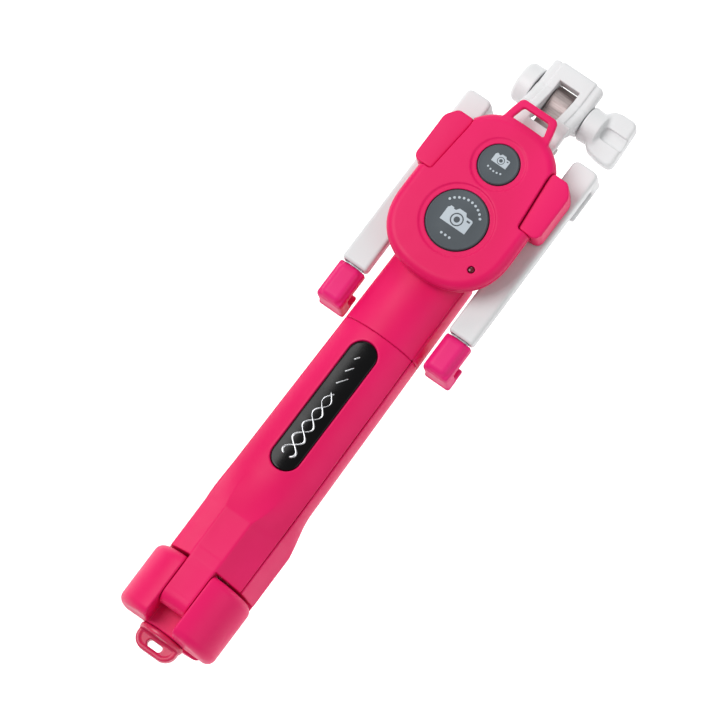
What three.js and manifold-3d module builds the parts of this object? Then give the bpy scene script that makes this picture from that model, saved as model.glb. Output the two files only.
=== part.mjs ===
// A telescopic selfie stick, folded up. Its three-part handle opens into a tripod, and a phone
// clamp with a clip-in remote hangs from the swivel head in front of the pole.
// Units are millimetres. The stick lies on its back: +Y runs from the lanyard tab to the swivel
// head, +Z is the front, where the remote is, and +X is the right side seen from the front.
// Inside the stick group the pole's axis is the line x = 0, z = 0, and y = 0 is the hub's underside.

import * as THREE from 'three';
import { mergeVertices } from 'three/addons/utils/BufferGeometryUtils.js';
import Module from 'manifold-3d';

const wasm = await Module();
wasm.setup();

// ---------------------------------------------------------------- driving dimensions

const GAP = 0.3; // between neighbouring pieces
const DEG = Math.PI / 180;
const ROUND = 24; // sides of a small round piece

// hub, hinge pins and base cap
const HUB_HEIGHT = 19;
const LOBE_RADIUS = 12.6;
const LOBE_OFFSET = 2.9;
const LOBE_ROUNDING = 2.2;
const SLOT_HALF = 4.3;
const SLOT_FLOOR = 5.9; // the slots' inner wall, from the axis
const SEAT_HEIGHT = 15; // the pole stands here
const SPIGOT_TOP = 24;
const PIN_Y = 9.2;
const PIN_OUT = 10; // the pin's distance from the axis
const PIN_RADIUS = 1.1;
const PIN_HALF = 9;
const CAP_RADIUS = 6.6;
const CAP_THICK = 1.6;
const TAB_HALF = 6.2;
const TAB_REACH = 6.5;
const TAB_THICK = 2.8;
const TAB_CORNER = 3.6;
const TAB_SLOT = { half: 2.3, from: -4.9, to: -2.9, corner: 0.95 };
const STEM_RADIUS = 2; // the cap's stem stands in a bore of the hub
const STEM_TOP = 7.4;

// legs and handle sleeve
const LEG_AZIMUTHS = { front: 0, right: 120, left: 240 };
const LEG_BOTTOM = 19.8;
const LEG_TIP = 95.9;
const BORE_RADIUS = 6.9; // the channel round the pole
const BULGE = 1.3; // how much further out the seams are than the middle of a leg
const MID_RADIUS = 11.9; // a leg's middle at the foot of the smooth part
const MID_TAPER = 1 / 70; // the handle gets slimmer upwards
const SCOOP_TOP = 48; // the raised blade grows out of the leg between these two heights
const SCOOP_END = 35.5;
const SCOOP_HALF = 7.8;
const BLADE_HALF = 4.2;
const BLADE_RADIUS = 13.7;
const BLADE_SEAM_RADIUS = 13.3;
const SLEEVE_BOTTOM = 96.25;
const SLEEVE_TOP = 122;
const FOOT = { half: 4, from: 90, low: 8, high: 9.6 }; // rubber plug in a leg's tip

// badge in the front leg
const BADGE_BOTTOM = 51.6;
const BADGE_TOP = 92.8;
const BADGE_HALF = 4.15;
const BADGE_DEPTH = 1.1;

// telescopic pole
const TUBE_COUNT = 6;
const TUBE_RADIUS = 6.5;
const TUBE_STEP = 0.8; // each section is this much slimmer in radius
const TUBE_WALL = 0.45;
const TUBE_TOP = 158.5;
const TUBE_TOP_STEP = 0.7; // each section stands this much proud of the one round it
const INNER_TUBE_FOOT = 26;
const HEAD_FOOT = 162.3;
const HEAD_TOP = 166.4;
const HEAD_RADIUS = 6.4;
const LUG_HALF = 2.9;
const LUG_RADIUS = 4;

// swivel head
const BOLT_Y = 176.5;
const BOLT_RADIUS = 1.6;
const BOLT_END = 12.4; // the bolt stops inside the knob's collar
const FORK_TOP = 186;
const FORK_HALF = 8.1;
const FORK_GAP = 3.2; // half the space for the lug
const FORK_RADIUS = 5.6;
const FOOT_BACK = 6.9; // the fork's foot plate, in front of the pole
const FOOT_FRONT = 9.1;
const FOOT_BOTTOM = 142;
const FOOT_TOP = 167.3;
const FOOT_INSET = 0.5; // the foot plate and the bridge are this much narrower on each side
const RAMP_TOP = BOLT_Y + 0.5; // the prongs slope forwards from here to the foot plate
const RAMP_END = 170;
const PRONG_NECK = { y: 169.2, z: 4.2 }; // where a prong's round back meets its underside
const BRIDGE_BOTTOM = 181; // the bridge joins the prongs above the lug
const BRIDGE_BACK = 0.8;
const FORK_BEVEL = 1.2;
const FRAME_SCREWS = [147, 154]; // heights of the screws that hold the clamp to the foot plate
const SCREW_RADIUS = 0.8;
const SCREW_HEAD = 1.6;
const COVER_RADIUS = 6;
const COVER_OUT = 13.2;
const COVER_BORE = 4.2;
const COVER_FLOOR = -11.6;
const COLLAR_RADIUS = 5.2;
const COLLAR_OUT = 12.6;
const WING_IN = 11.6;
const WING_THICK = 5.2;
const KNOB_OUT = 21.2;
const KNOB_HALF = 7.2;

// phone clamp
const ARM_IN = 13.6;
const ARM_OUT = 21.4;
const ARM_BACK = 3.6;
const ARM_FRONT = 8;
const ARM_BOTTOM = 108.2;
const ARM_TOP = 165.5;
const HOOK_BACK = -2.6;
const HOOK_BOTTOM = 161.5; // underside of the upper hooks
const HOOK_LIP_BOTTOM = 152.5;
const HOOK_INSET = 0.3; // the hooks are this much narrower than the arms on each side
const ARM_SIDE_WALL = 1.1;
const ARM_FACE_WALL = 0.9;
const BAR_HALF = 12.6;
const BAR_BOTTOM = 143;
const BAR_TOP = 158;
const BAR_FRONT = 11.7;
const BORE_TOP = 153; // the arms are hollow up to here
const CLIP_SCREW = { x: 17.5, y: 155.2 };
const ROD_TOP = 148;
const ROD_BACK = 4.85;
const ROD_FRONT = 5.7;
const SPRING = { from: 112, to: 152, turns: 10, radius: 0.45, wire: 0.14, out: 6.42 };
const PAD_BOTTOM = 96.35;
const PAD_TOP = 107.8;
const PAD_PROUD = 0.15; // how far the rubber stands out from the arm
const PAD_HOOK = 3.6; // height of the hook under the phone
const PAD_LIP = { height: 8, thick: 1.6 };

// remote
const REMOTE_BACK = 12;
const REMOTE_SPLIT = 14.2; // top of the back shell
const REMOTE_FRONT = 17.2;
const REMOTE_HALF = 18;
const REMOTE_WIDEST = 131; // height of the widest place
const REMOTE_BELOW = 16.8;
const REMOTE_ABOVE = 32.6;
const REMOTE_WALL = 2;
const CHAMBER_HALF = 11.3; // half width of the hollow inside
const CHAMBER_TOP = 16.2;
const DISH = { margin: 1.75, depth: 0.3 }; // shallow recess round each button
const BUTTONS = { large: { y: 131.9, radius: 8.4 }, small: { y: 150.4, radius: 5.6 } };
const LENS = { x: 11.1, y: 123.1, radius: 0.8 };
const CLIP_BOTTOM = 139.5;
const CLIP_TOP = 157;
const CLIP_OUT = 20.4;
const CLIP_FRONT = 16;

// ---------------------------------------------------------------- materials

const finish = (color, roughness, metalness = 0) =>
  new THREE.MeshStandardMaterial({ color, roughness, metalness });

const pinkPlastic = finish(0xe82569, 0.42);
const pinkRubber = finish(0xf0328c, 0.6);
const whitePlastic = finish(0xe8e8e6, 0.4);
const steel = finish(0xb8bbc0, 0.3, 1);
const chrome = finish(0xd5d8dc, 0.15, 1);
const lugMetal = finish(0x8f8583, 0.35, 1);
const blackGloss = finish(0x0b0b0d, 0.1);
const darkButton = finish(0x434b52, 0.55);
const redLens = finish(0x6a1320, 0.2);
const boardGreen = finish(0x1f6b3a, 0.6);

// ---------------------------------------------------------------- making solids

// Turns a closed geometry into a solid for joining and cutting, whichever way its faces point.
function solidOf(geometry, matrix = new THREE.Matrix4()) {
  const bare = new THREE.BufferGeometry();
  bare.setAttribute('position', geometry.getAttribute('position').clone());
  if (geometry.index) bare.setIndex(geometry.index.clone());
  bare.applyMatrix4(matrix);
  const merged = mergeVertices(bare, 1e-4);
  const points = merged.getAttribute('position').array;
  const corners = merged.index.array;
  const kept = [];
  let volume = 0;
  const at = (index) => new THREE.Vector3().fromArray(points, 3 * index);
  for (let i = 0; i < corners.length; i += 3) {
    const [a, b, c] = corners.slice(i, i + 3);
    if (a === b || b === c || c === a) continue;
    kept.push([a, b, c]);
    volume += at(a).dot(at(b).cross(at(c)));
  }
  const facing = volume > 0 ? kept : kept.map(([a, b, c]) => [a, c, b]);
  return new wasm.Manifold(new wasm.Mesh({
    numProp: 3,
    vertProperties: Float32Array.from(points),
    triVerts: Uint32Array.from(facing.flat()),
  }));
}

function part(name, solid, material) {
  const { vertProperties, triVerts } = solid.getMesh();
  const geometry = new THREE.BufferGeometry();
  geometry.setAttribute('position', new THREE.BufferAttribute(vertProperties, 3));
  geometry.setIndex(new THREE.BufferAttribute(triVerts, 1));
  geometry.computeVertexNormals();
  const mesh = new THREE.Mesh(geometry, material);
  mesh.name = name;
  return mesh;
}

function block([x0, x1], [y0, y1], [z0, z1]) {
  const shift = new THREE.Matrix4().makeTranslation((x0 + x1) / 2, (y0 + y1) / 2, (z0 + z1) / 2);
  return solidOf(new THREE.BoxGeometry(x1 - x0, y1 - y0, z1 - z0), shift);
}

const turned = (degrees) => new THREE.Matrix4().makeRotationY(degrees * DEG);
const moved = (x, y, z) => new THREE.Matrix4().makeTranslation(x, y, z);
const points2 = (list) => list.map(([u, v]) => new THREE.Vector2(u, v));

// A round piece about the Y axis, from its radius and height pairs.
const lathe = (profile, sides = ROUND, matrix) =>
  solidOf(new THREE.LatheGeometry(points2(profile), sides), matrix);

// A round piece about a line along X or Z: the profile's height runs along that line.
const alongX = (y, z) => moved(0, y, z).multiply(new THREE.Matrix4().makeRotationZ(-90 * DEG));
const alongZ = (x, y) => moved(x, y, 0).multiply(new THREE.Matrix4().makeRotationX(90 * DEG));

const rod = (radius, from, to, sides, matrix) =>
  lathe([[0, from], [radius, from], [radius, to], [0, to]], sides, matrix);

// A plate with its outline in x and y, from one z to another.
function plate(shape, z0, z1, curveSegments = 6) {
  const options = { depth: z1 - z0, bevelEnabled: false, curveSegments };
  return solidOf(new THREE.ExtrudeGeometry(shape, options), moved(0, 0, z0));
}

// A plate with its outline in y and z, from one x to another.
function sidePlate(shape, x0, x1, curveSegments = 6) {
  const options = { depth: x1 - x0, bevelEnabled: false, curveSegments };
  const upright = new THREE.Matrix4().makeBasis(
    new THREE.Vector3(0, 1, 0), new THREE.Vector3(0, 0, 1), new THREE.Vector3(1, 0, 0));
  return solidOf(new THREE.ExtrudeGeometry(shape, options), moved(x0, 0, 0).multiply(upright));
}

function roundedShape(u0, u1, v0, v1, radius) {
  const shape = new THREE.Shape();
  shape.absarc(u1 - radius, v0 + radius, radius, -90 * DEG, 0);
  shape.absarc(u1 - radius, v1 - radius, radius, 0, 90 * DEG);
  shape.absarc(u0 + radius, v1 - radius, radius, 90 * DEG, 180 * DEG);
  shape.absarc(u0 + radius, v0 + radius, radius, 180 * DEG, 270 * DEG);
  return shape;
}

// A closed skin over outlines with equal numbers of points; place puts a point in space.
function loft(sections, place) {
  const count = sections[0].outline.length;
  const positions = sections.flatMap(({ at, outline }) =>
    outline.flatMap((point) => place(point.x, point.y, at).toArray()));
  const faces = [];
  for (let i = 0; i < sections.length - 1; i += 1) {
    for (let j = 0; j < count; j += 1) {
      const [a, b] = [i * count + j, i * count + ((j + 1) % count)];
      faces.push(a, b, b + count, a, b + count, a + count);
    }
  }
  const lastStart = (sections.length - 1) * count;
  for (const [start, sense] of [[0, -1], [lastStart, 1]]) {
    const { outline } = sections[start / count];
    const wanted = sense * Math.sign(THREE.ShapeUtils.area(outline));
    for (const [a, b, c] of THREE.ShapeUtils.triangulateShape(outline, [])) {
      const way = Math.sign(THREE.ShapeUtils.area([outline[a], outline[b], outline[c]]));
      faces.push(start + a, ...(way === wanted ? [start + b, start + c] : [start + c, start + b]));
    }
  }
  const geometry = new THREE.BufferGeometry();
  geometry.setAttribute('position', new THREE.Float32BufferAttribute(positions, 3));
  geometry.setIndex(faces);
  return solidOf(geometry);
}

const acrossY = (x, z, y) => new THREE.Vector3(x, y, z);
const acrossZ = (x, y, z) => new THREE.Vector3(x, y, z);

// ---------------------------------------------------------------- handle outline

const midRadius = (y) => MID_RADIUS - (y - SCOOP_TOP) * MID_TAPER;

// Radius of the smooth handle at an angle from the middle of a leg, in degrees.
const smoothRadius = (y, angle) => midRadius(y) + BULGE * (angle / 60) ** 2;

const polar = (radius, angle) =>
  new THREE.Vector2(radius * Math.sin(angle * DEG), radius * Math.cos(angle * DEG));

// Cross-section of the leg that points along +Z: x across it, then z outwards.
function legOutline(y) {
  const raised = THREE.MathUtils.clamp((SCOOP_TOP - y) / (SCOOP_TOP - SCOOP_END), 0, 1);
  const seamAngle = 60 - Math.asin(GAP / 2 / midRadius(y)) / DEG;
  const edgeAngle = Math.asin(SCOOP_HALF / midRadius(y)) / DEG;
  const bladeEdge = new THREE.Vector2(BLADE_HALF, BLADE_RADIUS);
  const bladeSeam = polar(BLADE_SEAM_RADIUS, seamAngle);
  const right = [];
  for (let i = 0; i <= 4; i += 1) {
    const smooth = polar(smoothRadius(y, (edgeAngle * i) / 4), (edgeAngle * i) / 4);
    const blade = new THREE.Vector2((BLADE_HALF * i) / 4, BLADE_RADIUS);
    right.push(smooth.lerp(blade, raised));
  }
  for (let i = 1; i <= 3; i += 1) {
    const angle = edgeAngle + ((seamAngle - edgeAngle) * i) / 3;
    right.push(polar(smoothRadius(y, angle), angle)
      .lerp(bladeEdge.clone().lerp(bladeSeam, i / 3), raised));
  }
  const left = right.slice(1).map((point) => new THREE.Vector2(-point.x, point.y)).reverse();
  const channel = [];
  const channelAngle = 60 - Math.asin(GAP / 2 / BORE_RADIUS) / DEG;
  for (let i = 0; i <= 8; i += 1) {
    channel.push(polar(BORE_RADIUS, channelAngle * (1 - i / 4)));
  }
  return [...left, ...right, ...channel];
}

// ---------------------------------------------------------------- hub and base cap

// A rod along a leg's hinge line, for the leg at this azimuth.
const hingeRod = (radius, half, azimuth = 0, sides = 14) =>
  rod(radius, -half, half, sides, turned(azimuth).multiply(alongX(PIN_Y, PIN_OUT)));

function hubSolid() {
  const r = LOBE_ROUNDING;
  const profile = [[0, 0], [LOBE_RADIUS - r, 0]];
  for (const [height, start] of [[r, -90], [HUB_HEIGHT - r, 0]]) {
    for (let i = 1; i <= 2; i += 1) {
      const angle = (start + i * 45) * DEG;
      profile.push([LOBE_RADIUS - r + r * Math.cos(angle), height + r * Math.sin(angle)]);
    }
    if (start < 0) profile.push([LOBE_RADIUS, HUB_HEIGHT - r]);
  }
  profile.push([0, HUB_HEIGHT]);
  const lobes = [60, 180, 300].map((azimuth) =>
    lathe(profile, 36, turned(azimuth).multiply(moved(0, 0, LOBE_OFFSET))));
  let hub = lobes[0].add(lobes[1]).add(lobes[2]);
  for (const azimuth of Object.values(LEG_AZIMUTHS)) {
    const slot = new THREE.BoxGeometry(2 * SLOT_HALF, 3 * HUB_HEIGHT, 20);
    const place = turned(azimuth).multiply(moved(0, 0, SLOT_FLOOR + 10));
    hub = hub.subtract(solidOf(slot, place))
      .subtract(hingeRod(PIN_RADIUS + GAP, PIN_HALF + GAP, azimuth));
  }
  hub = hub.subtract(rod(TUBE_RADIUS + GAP, SEAT_HEIGHT, HUB_HEIGHT + 1, 32));
  const spigot = rod(TUBE_RADIUS - TUBE_WALL - GAP, SEAT_HEIGHT - 2, SPIGOT_TOP, 32);
  return hub.add(spigot).subtract(rod(STEM_RADIUS + GAP, -1, STEM_TOP + 2 * GAP, ROUND));
}

function baseCapSolid() {
  const [top, bottom] = [-GAP, -GAP - CAP_THICK];
  const disc = lathe([
    [0, bottom], [CAP_RADIUS - 0.8, bottom], [CAP_RADIUS, bottom + 0.8], [CAP_RADIUS, top],
    [STEM_RADIUS, top], [STEM_RADIUS, STEM_TOP], [0, STEM_TOP],
  ], 28);
  const outline = new THREE.Shape();
  const corner = TAB_CORNER;
  outline.moveTo(-TAB_HALF, bottom + 0.4);
  outline.absarc(-TAB_HALF + corner, -TAB_REACH + corner, corner, 180 * DEG, 270 * DEG);
  outline.absarc(TAB_HALF - corner, -TAB_REACH + corner, corner, 270 * DEG, 360 * DEG);
  outline.lineTo(TAB_HALF, bottom + 0.4);
  const { half, from, to } = TAB_SLOT;
  outline.holes.push(roundedShape(-half, half, from, to, TAB_SLOT.corner));
  return disc.add(plate(outline, -TAB_THICK / 2, TAB_THICK / 2));
}

// ---------------------------------------------------------------- legs

function legSolid() {
  const heights = [LEG_BOTTOM, SCOOP_END, 39.7, 43.9, SCOOP_TOP, 72, LEG_TIP];
  const shell = loft(heights.map((y) => ({ at: y, outline: legOutline(y) })), acrossY);
  const half = SLOT_HALF - GAP;
  const knuckle = hingeRod(BLADE_RADIUS - PIN_OUT, half, 0, ROUND);
  const tongue = block([-half, half], [PIN_Y, LEG_BOTTOM + 1], [BORE_RADIUS + 0.1, BLADE_RADIUS]);
  const pocket = block([-FOOT.half - GAP, FOOT.half + GAP], [FOOT.from - GAP, LEG_TIP + 1],
    [FOOT.low - GAP, FOOT.high + GAP]);
  return shell.add(knuckle).add(tongue).subtract(pocket)
    .subtract(hingeRod(PIN_RADIUS + GAP, SLOT_HALF));
}

const footSolid = () =>
  block([-FOOT.half, FOOT.half], [FOOT.from, LEG_TIP + 0.1], [FOOT.low, FOOT.high]);

const badgeFloor = midRadius(BADGE_TOP) - BADGE_DEPTH;

// A stadium along the front leg, grown by a margin, from one z to another.
function stadium(margin, z0, z1) {
  const half = BADGE_HALF + margin;
  const shape = new THREE.Shape();
  shape.absarc(0, BADGE_TOP - BADGE_HALF, half, 0, 180 * DEG);
  shape.absarc(0, BADGE_BOTTOM + BADGE_HALF, half, 180 * DEG, 360 * DEG);
  return plate(shape, z0, z1, 12);
}

// ---------------------------------------------------------------- handle sleeve

function sleeveSolid() {
  const outline = (y, inset) => Array.from({ length: 48 }, (_, i) => {
    const azimuth = i * 7.5;
    const fromMiddle = ((azimuth + 60) % 120) - 60;
    return polar(smoothRadius(y, fromMiddle) - inset, azimuth);
  });
  let sleeve = loft([
    { at: SLEEVE_BOTTOM, outline: outline(SLEEVE_BOTTOM, 0) },
    { at: SLEEVE_TOP - 1, outline: outline(SLEEVE_TOP - 1, 0) },
    { at: SLEEVE_TOP, outline: outline(SLEEVE_TOP, 1) },
  ], acrossY);
  sleeve = sleeve.subtract(rod(TUBE_RADIUS + GAP, SLEEVE_BOTTOM - 1, SLEEVE_TOP + 1, 32));
  for (const azimuth of [60, 180, 300]) {
    const groove = new THREE.BoxGeometry(GAP, 2 * SLEEVE_TOP, 2);
    const place = turned(azimuth).multiply(moved(0, SLEEVE_TOP, midRadius(SLEEVE_TOP) + BULGE + 0.2));
    sleeve = sleeve.subtract(solidOf(groove, place));
  }
  return sleeve;
}

// ---------------------------------------------------------------- pole

function tubeSolid(index) {
  const outer = TUBE_RADIUS - index * TUBE_STEP;
  const inner = outer - TUBE_WALL;
  const foot = index === 0 ? SEAT_HEIGHT + GAP : INNER_TUBE_FOOT + index;
  const top = index === TUBE_COUNT - 1 ? HEAD_FOOT + 1.7 : TUBE_TOP + index * TUBE_TOP_STEP;
  const profile = [[inner, foot], [outer, foot], [outer, top - 0.4], [outer - 0.2, top], [inner, top],
    [inner, foot]];
  return lathe(profile, index === 0 ? 32 : ROUND);
}

function poleHeadSolid() {
  const r = HEAD_RADIUS;
  const lastTube = TUBE_RADIUS - (TUBE_COUNT - 1) * TUBE_STEP + GAP;
  const cap = lathe([
    [lastTube, HEAD_FOOT + 2], [lastTube, HEAD_FOOT], [r - 0.3, HEAD_FOOT], [r, HEAD_FOOT + 0.3],
    [r, HEAD_FOOT + 1.5], [r - 0.5, HEAD_FOOT + 1.7], [r - 0.5, HEAD_FOOT + 2.2],
    [r, HEAD_FOOT + 2.4], [r, HEAD_TOP - 0.5], [r - 0.5, HEAD_TOP], [0, HEAD_TOP],
    [0, HEAD_FOOT + 2], [lastTube, HEAD_FOOT + 2],
  ], 28);
  const neck = block([-LUG_HALF, LUG_HALF], [HEAD_TOP - 0.5, BOLT_Y], [-0.4, LUG_RADIUS]);
  const eye = rod(LUG_RADIUS, -LUG_HALF, LUG_HALF, ROUND, alongX(BOLT_Y, 0));
  return cap.add(neck).add(eye).subtract(rod(BOLT_RADIUS + GAP, -9, 9, 16, alongX(BOLT_Y, 0)));
}

// ---------------------------------------------------------------- swivel head

function forkSolid() {
  const side = new THREE.Shape();
  side.moveTo(FORK_TOP, BRIDGE_BACK);
  side.lineTo(FORK_TOP, FORK_RADIUS - FORK_BEVEL);
  side.lineTo(FORK_TOP - FORK_BEVEL, FORK_RADIUS);
  side.lineTo(RAMP_TOP, FORK_RADIUS);
  side.lineTo(RAMP_END, FOOT_FRONT);
  side.lineTo(FOOT_BOTTOM, FOOT_FRONT);
  side.lineTo(FOOT_BOTTOM, FOOT_BACK);
  side.lineTo(FOOT_TOP, FOOT_BACK);
  side.lineTo(PRONG_NECK.y, PRONG_NECK.z);
  side.absarc(BOLT_Y, 0, FORK_RADIUS, 150 * DEG, 368 * DEG);
  const prong = sidePlate(side, FORK_GAP, FORK_HALF, 14);
  const otherProng = sidePlate(side, -FORK_HALF, -FORK_GAP, 14);
  const across = [-FORK_HALF + FOOT_INSET, FORK_HALF - FOOT_INSET];
  const bridge = block(across, [BRIDGE_BOTTOM, FORK_TOP], [BRIDGE_BACK, FORK_RADIUS - FORK_BEVEL])
    .add(block(across, [BRIDGE_BOTTOM, FORK_TOP - FORK_BEVEL], [BRIDGE_BACK, FORK_RADIUS]));
  const foot = block(across, [FOOT_BOTTOM, FOOT_TOP], [FOOT_BACK, FOOT_FRONT]);
  let fork = prong.add(otherProng).add(bridge).add(foot);
  fork = fork.subtract(rod(BOLT_RADIUS + GAP, -12, 12, 16, alongX(BOLT_Y, 0)));
  for (const y of FRAME_SCREWS) {
    fork = fork.subtract(rod(SCREW_RADIUS + GAP, FOOT_BACK - 1, FOOT_FRONT + 1, 12, alongZ(0, y)));
  }
  return fork;
}

const boltSolid = () => rod(BOLT_RADIUS, COVER_FLOOR + 0.1, BOLT_END, 20, alongX(BOLT_Y, 0));

function nutSolid() {
  const hexagon = rod(3.5, -11, -FORK_HALF - GAP, 6, alongX(BOLT_Y, 0));
  return hexagon.subtract(rod(BOLT_RADIUS + 0.15, -20, 0, 20, alongX(BOLT_Y, 0)));
}

function nutCoverSolid() {
  const [face, rim, r] = [-COVER_OUT, -FORK_HALF - GAP, COVER_RADIUS];
  return lathe([
    [0, face], [r - 1.4, face], [r - 0.4, face + 0.5], [r, face + 1.4], [r, rim], [COVER_BORE, rim],
    [COVER_BORE, COVER_FLOOR], [0, COVER_FLOOR],
  ], 28, alongX(BOLT_Y, 0));
}

function wingKnobSolid() {
  const collar = rod(COLLAR_RADIUS, FORK_HALF + GAP, COLLAR_OUT, 28, alongX(BOLT_Y, 0));
  const wing = new THREE.Shape();
  const [left, right, half, corner] = [WING_IN, KNOB_OUT, KNOB_HALF, 2.2];
  wing.moveTo(left, BOLT_Y - half + 2);
  wing.absarc(left + 2, BOLT_Y - half + 2, 2, 180 * DEG, 270 * DEG);
  wing.absarc(right - corner - 0.6, BOLT_Y - half + corner, corner, 270 * DEG, 350 * DEG);
  wing.absarc(right - corner, BOLT_Y + half - corner, corner, 0, 90 * DEG);
  wing.absarc(left + 1.5, BOLT_Y + half - 1.5, 1.5, 90 * DEG, 180 * DEG);
  const paddle = plate(wing, -WING_THICK / 2, WING_THICK / 2);
  const band = block([13, KNOB_OUT - 1.6], [BOLT_Y - 2.2, BOLT_Y + 1.6], [2, 4]);
  return collar.add(paddle).subtract(band)
    .subtract(rod(BOLT_RADIUS + GAP, 0, BOLT_END + GAP, 20, alongX(BOLT_Y, 0)));
}

// ---------------------------------------------------------------- phone clamp

// Limits in x of a piece on one side: +1 is the right side, -1 the left.
const sided = (side, [x0, x1]) => (side > 0 ? [x0, x1] : [-x1, -x0]);

function armSolid(side) {
  const outline = roundedShape(ARM_BOTTOM, ARM_TOP, ARM_BACK, ARM_FRONT, 1);
  const body = sidePlate(outline, ...sided(side, [ARM_IN, ARM_OUT]), 3);
  const across = sided(side, [ARM_IN + HOOK_INSET, ARM_OUT - HOOK_INSET]);
  const hook = block(across, [HOOK_BOTTOM, ARM_TOP - 0.4], [HOOK_BACK, ARM_BACK + 1]);
  const lip = block(across, [HOOK_LIP_BOTTOM, HOOK_BOTTOM + 0.5],
    [HOOK_BACK, HOOK_BACK + PAD_LIP.thick]);
  const bore = block(sided(side, [ARM_IN + ARM_SIDE_WALL, ARM_OUT - ARM_SIDE_WALL]),
    [ARM_BOTTOM - 1, BORE_TOP], [ARM_BACK + ARM_FACE_WALL, ARM_FRONT - ARM_FACE_WALL]);
  return body.add(hook).add(lip).subtract(bore);
}

function jawFrameSolid() {
  let frame = block([-BAR_HALF, BAR_HALF], [BAR_BOTTOM, BAR_TOP], [FOOT_FRONT + GAP, BAR_FRONT]);
  for (const side of [-1, 1]) {
    const shoulder = block(sided(side, [FORK_HALF + 0.4, ARM_IN + 0.4]), [BAR_BOTTOM, BAR_TOP],
      [ARM_BACK + 0.6, ARM_FRONT - 0.3]);
    const riser = block(sided(side, [FORK_HALF + 0.4, BAR_HALF]), [BAR_BOTTOM, BAR_TOP],
      [ARM_BACK + 0.6, BAR_FRONT]);
    const screwLine = alongZ(side * CLIP_SCREW.x, CLIP_SCREW.y);
    frame = frame.add(shoulder).add(riser).add(armSolid(side))
      .subtract(rod(SCREW_RADIUS + GAP, 0, ARM_FRONT + 1, 12, screwLine))
      .subtract(rod(SCREW_HEAD + GAP, 0, ARM_BACK + 1.1, 16, screwLine));
  }
  for (const y of FRAME_SCREWS) {
    frame = frame.subtract(rod(SCREW_RADIUS + GAP, 0, BAR_FRONT + 1, 12, alongZ(0, y)))
      .subtract(rod(SCREW_HEAD + GAP, BAR_FRONT - 1, BAR_FRONT + 1, 16, alongZ(0, y)));
  }
  return frame;
}

const jawRodSolid = (side) =>
  block(sided(side, [ARM_IN + 1.4, ARM_OUT - 1.4]), [PAD_BOTTOM + 3, ROD_TOP],
    [ROD_BACK, ROD_FRONT]);

function jawHookSolid(side) {
  const across = sided(side, [ARM_IN - PAD_PROUD, ARM_OUT + PAD_PROUD]);
  const outline = roundedShape(PAD_BOTTOM, PAD_TOP, ARM_BACK - 0.2, ARM_FRONT + PAD_PROUD, 1.2);
  const pad = sidePlate(outline, ...across, 4);
  const hook = block(across, [PAD_BOTTOM, PAD_BOTTOM + PAD_HOOK], [HOOK_BACK, ARM_BACK + 1.5]);
  const lip = block(across, [PAD_BOTTOM, PAD_BOTTOM + PAD_LIP.height],
    [HOOK_BACK, HOOK_BACK + PAD_LIP.thick]);
  const slot = block(sided(side, [ARM_IN + ARM_SIDE_WALL, ARM_OUT - ARM_SIDE_WALL]),
    [PAD_BOTTOM + 3 - GAP, PAD_TOP + 1], [ROD_BACK - GAP, ROD_FRONT + GAP]);
  return pad.add(hook).add(lip).subtract(slot);
}

function springSolid(side) {
  const coil = new THREE.Curve();
  coil.getPoint = (t) => {
    const angle = t * SPRING.turns * 360 * DEG;
    return new THREE.Vector3(side * (ARM_IN + ARM_OUT) / 2 + SPRING.radius * Math.cos(angle),
      SPRING.from + (SPRING.to - SPRING.from) * t, SPRING.out + SPRING.radius * Math.sin(angle));
  };
  const wire = new THREE.Shape();
  wire.absarc(0, 0, SPRING.wire, 0, 360 * DEG);
  const options = { extrudePath: coil, steps: SPRING.turns * 6, curveSegments: 2 };
  return solidOf(new THREE.ExtrudeGeometry(wire, options));
}

function screwSolid(length) {
  return lathe([
    [0, 0], [SCREW_RADIUS, 0], [SCREW_RADIUS, length - 0.8], [SCREW_HEAD, length - 0.8],
    [SCREW_HEAD, length - 0.2], [SCREW_HEAD - 0.3, length], [0, length],
  ], 12, alongZ(0, 0));
}

// ---------------------------------------------------------------- remote

// The egg-shaped outline of the remote, drawn in by an inset.
function remoteOutline(inset) {
  const half = REMOTE_HALF - inset;
  return Array.from({ length: 40 }, (_, i) => {
    const angle = (i * 9 + 4.5) * DEG;
    const above = Math.sin(angle) > 0;
    const power = 2 / (above ? 2.8 : 2.3);
    const reach = (above ? REMOTE_ABOVE : REMOTE_BELOW) - inset;
    const [c, s] = [Math.cos(angle), Math.sin(angle)];
    return new THREE.Vector2(half * Math.sign(c) * Math.abs(c) ** power,
      REMOTE_WIDEST + reach * Math.sign(s) * Math.abs(s) ** power);
  });
}

const remoteLayers = (layers) =>
  loft(layers.map(([z, inset]) => ({ at: z, outline: remoteOutline(inset) })), acrossZ);

// The hollow inside the remote, between two heights.
const chamber = (z0, z1) => remoteLayers([[z0, REMOTE_WALL], [z1, REMOTE_WALL]])
  .intersect(block([-CHAMBER_HALF, CHAMBER_HALF], [100, 180], [z0 - 1, z1 + 1]));

// Plan of a clip, with its inner edge slanted along the remote's shoulder.
function clipPlan(side, margin) {
  const shape = new THREE.Shape(points2([
    [CLIP_OUT + margin, CLIP_BOTTOM + 1.5 - margin], [CLIP_OUT + margin, CLIP_TOP - 3 + margin],
    [CLIP_OUT - 2.4, CLIP_TOP + margin], [13.4 - margin, CLIP_TOP + margin],
    [12.9 - margin, CLIP_TOP - 1], [15.1 - margin, CLIP_BOTTOM - margin],
    [CLIP_OUT - 1.5, CLIP_BOTTOM - margin],
  ].map(([x, y]) => [side * x, y])));
  return shape;
}

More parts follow.
